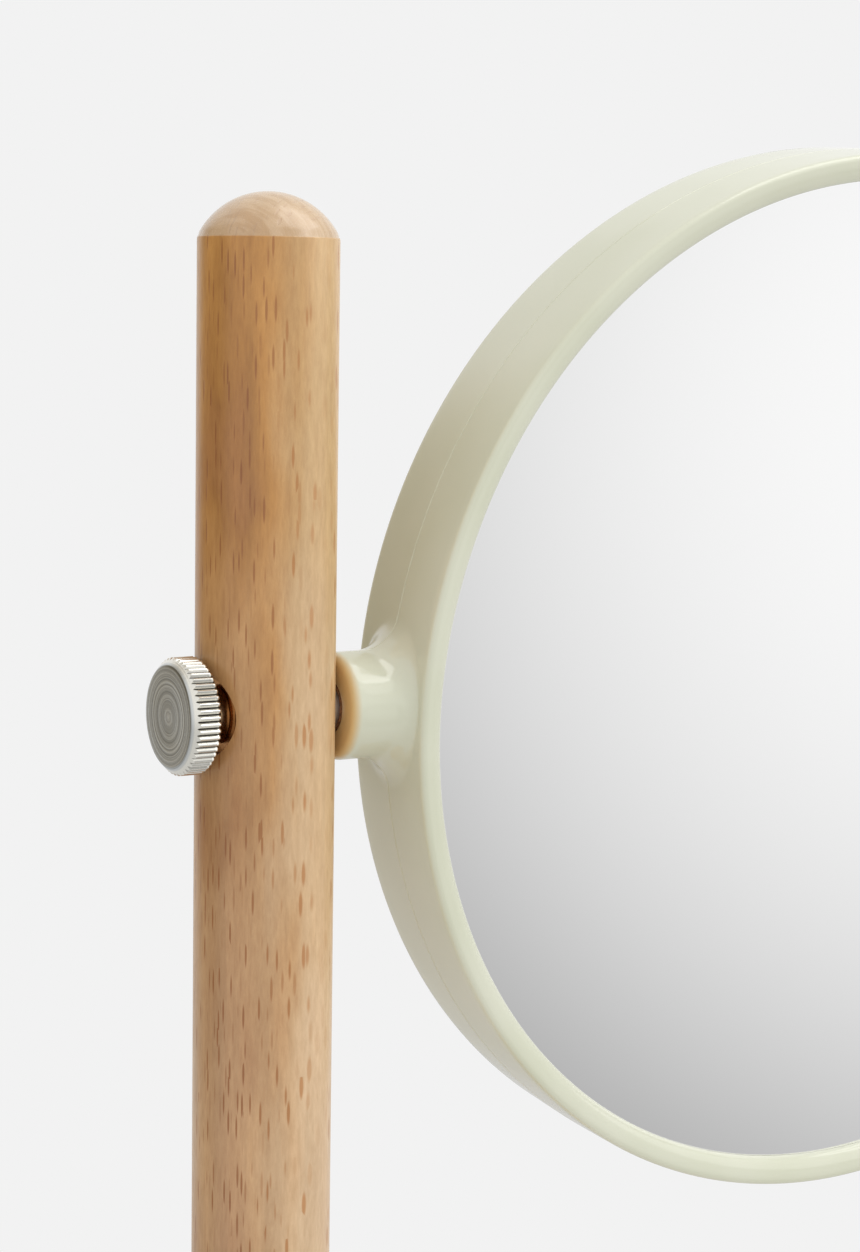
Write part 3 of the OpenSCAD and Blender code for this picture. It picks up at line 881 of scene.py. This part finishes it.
def floor():
    """A pale floor that runs out into the even white of the background."""
    mesh = bpy.data.meshes.new("floor")
    reach = 12.0
    corners = [(-reach, -reach, 0), (reach, -reach, 0), (reach, reach, 0), (-reach, reach, 0)]
    mesh.from_pydata(corners, [], [(0, 1, 2, 3)])
    plane = bpy.data.objects.new("floor", mesh)
    bpy.context.scene.collection.objects.link(plane)
    f = Finish("pale_floor")
    f.set(Base_Color=(0.69, 0.69, 0.69, 1), Roughness=0.85)
    point = f.add("TexCoord").outputs["Object"]
    distance = f.add("VectorMath", {0: point}, operation="LENGTH").outputs["Value"]
    glow = f.add("Emission", {"Color": (1, 1, 1, 1), "Strength": WHITE}).outputs[0]
    share = f.ramp(distance, FLOOR_SHADED, FLOOR_WHITE)
    mixed = f.add("MixShader", {0: share, 1: f.shader.outputs[0], 2: glow}).outputs[0]
    f.links.new(mixed, f.nodes["Material Output"].inputs["Surface"])
    mesh.materials.append(f.material)
    plane.visible_glossy = False
    plane.visible_diffuse = False
    plane.visible_shadow = False


def heading(azimuth, elevation):
    """A direction: azimuth 0 is in front, 90 on the mirror's side."""
    a, e = math.radians(azimuth), math.radians(elevation)
    return Vector((math.sin(a) * math.cos(e), -math.cos(a) * math.cos(e), math.sin(e)))


def world():
    """Even white for the camera. Round the object a studio: a dome that is brightest above, which
    reflections see darken towards the floor, a graded card in front on the right, and a warm dark flag
    behind on the left."""
    made = bpy.data.worlds.new("studio")
    bpy.context.scene.world = made
    made.use_nodes = True
    nodes, links = made.node_tree.nodes, made.node_tree.links
    way = nodes.new("ShaderNodeTexCoord").outputs["Generated"]

    def toward(direction, low, high, to_low=0.0, to_high=1.0):
        """Carries the cosine of the angle to a direction from one range to another."""
        dot = nodes.new("ShaderNodeVectorMath")
        dot.operation = "DOT_PRODUCT"
        links.new(way, dot.inputs[0])
        dot.inputs[1].default_value = direction
        ramp = nodes.new("ShaderNodeMapRange")
        ramp.interpolation_type = "SMOOTHSTEP"
        links.new(dot.outputs["Value"], ramp.inputs["Value"])
        for name, value in (("From Min", low), ("From Max", high), ("To Min", to_low), ("To Max", to_high)):
            ramp.inputs[name].default_value = value
        return ramp.outputs[0]

    def blend(share, one, two):
        """One value where share is 0 and the other where it is 1."""
        mixer = nodes.new("ShaderNodeMix")
        mixer.data_type = "FLOAT"
        links.new(share, mixer.inputs[0])
        for value, socket in ((one, mixer.inputs[2]), (two, mixer.inputs[3])):
            if isinstance(value, float):
                socket.default_value = value
            else:
                links.new(value, socket)
        return mixer.outputs[0]

    def patch(direction, outer, inner):
        """Share of a round patch: 0 past the outer angle from its direction and 1 within the inner one."""
        return toward(direction, math.cos(math.radians(outer)), math.cos(math.radians(inner)))

    dome = toward((0.15, 0.0, 0.99), 0.0, 0.95, 0.92, 1.02)
    card = toward(heading(45, -8.5), 0.927, 1.009, 0.31, 1.025)
    near_card = patch(heading(37, -15), 26, 13)
    near_flag = patch(heading(-130, 10), 42, 20)
    path = nodes.new("ShaderNodeLightPath").outputs
    seen = path["Is Camera Ray"]
    reflected = toward((0.0, 0.0, 1.0), -0.38, 0.12, 0.66, 0.92)
    around = blend(path["Is Glossy Ray"], dome, reflected)
    room = blend(near_flag, blend(near_card, around, card), FLAG_LEVEL)
    choose = nodes.new("ShaderNodeMix")
    choose.data_type = "FLOAT"
    links.new(seen, choose.inputs[0])
    links.new(room, choose.inputs[2])
    choose.inputs[3].default_value = WHITE
    background = nodes["Background"]
    tint = nodes.new("ShaderNodeMix")
    tint.data_type = "RGBA"
    links.new(blend(seen, near_flag, 0.0), tint.inputs[0])
    tint.inputs[6].default_value = (1, 1, 1, 1)
    tint.inputs[7].default_value = WARM
    links.new(tint.outputs[2], background.inputs["Color"])
    links.new(choose.outputs[0], background.inputs["Strength"])


def lamp(name, azimuth, elevation, distance, side, power):
    """A square softbox aimed at the tilt joint, in a heading from it."""
    light = bpy.data.lights.new(name, "AREA")
    light.shape = "RECTANGLE"
    light.size = light.size_y = side
    light.energy = power
    holder = bpy.data.objects.new(name, light)
    bpy.context.scene.collection.objects.link(holder)
    way = heading(azimuth, elevation)
    holder.location = PIVOT + way * distance
    holder.rotation_euler = way.to_track_quat("Z", "Y").to_euler()


def camera():
    """The photograph's view: from the left front of the post, looking slightly down."""
    data = bpy.data.cameras.new("view")
    data.lens = 80.4
    holder = bpy.data.objects.new("view", data)
    bpy.context.scene.collection.objects.link(holder)
    bpy.context.scene.camera = holder
    yaw, pitch, roll = 0.5411, -0.1128, 0.0149
    ahead = Vector((math.sin(yaw) * math.cos(pitch), math.cos(yaw) * math.cos(pitch), math.sin(pitch)))
    right = Vector((math.cos(yaw), -math.sin(yaw), 0))
    up = right.cross(ahead)
    leaning_right = right * math.cos(roll) + up * math.sin(roll)
    leaning_up = up * math.cos(roll) - right * math.sin(roll)
    turn = Matrix((leaning_right, leaning_up, -ahead)).transposed()
    offset = Vector((-0.2192, -0.4190, 0.0684))
    holder.matrix_world = Matrix.Translation(PIVOT + offset) @ turn.to_4x4()


floor()
world()
camera()
lamp("key_softbox", 68, 62, 1.3, 0.9, 4.8)
lamp("side_softbox", 58, 27, 1.2, 1.0, 2.2)
bpy.context.scene.view_settings.view_transform = "Standard"
bpy.context.scene.view_settings.look = "None"
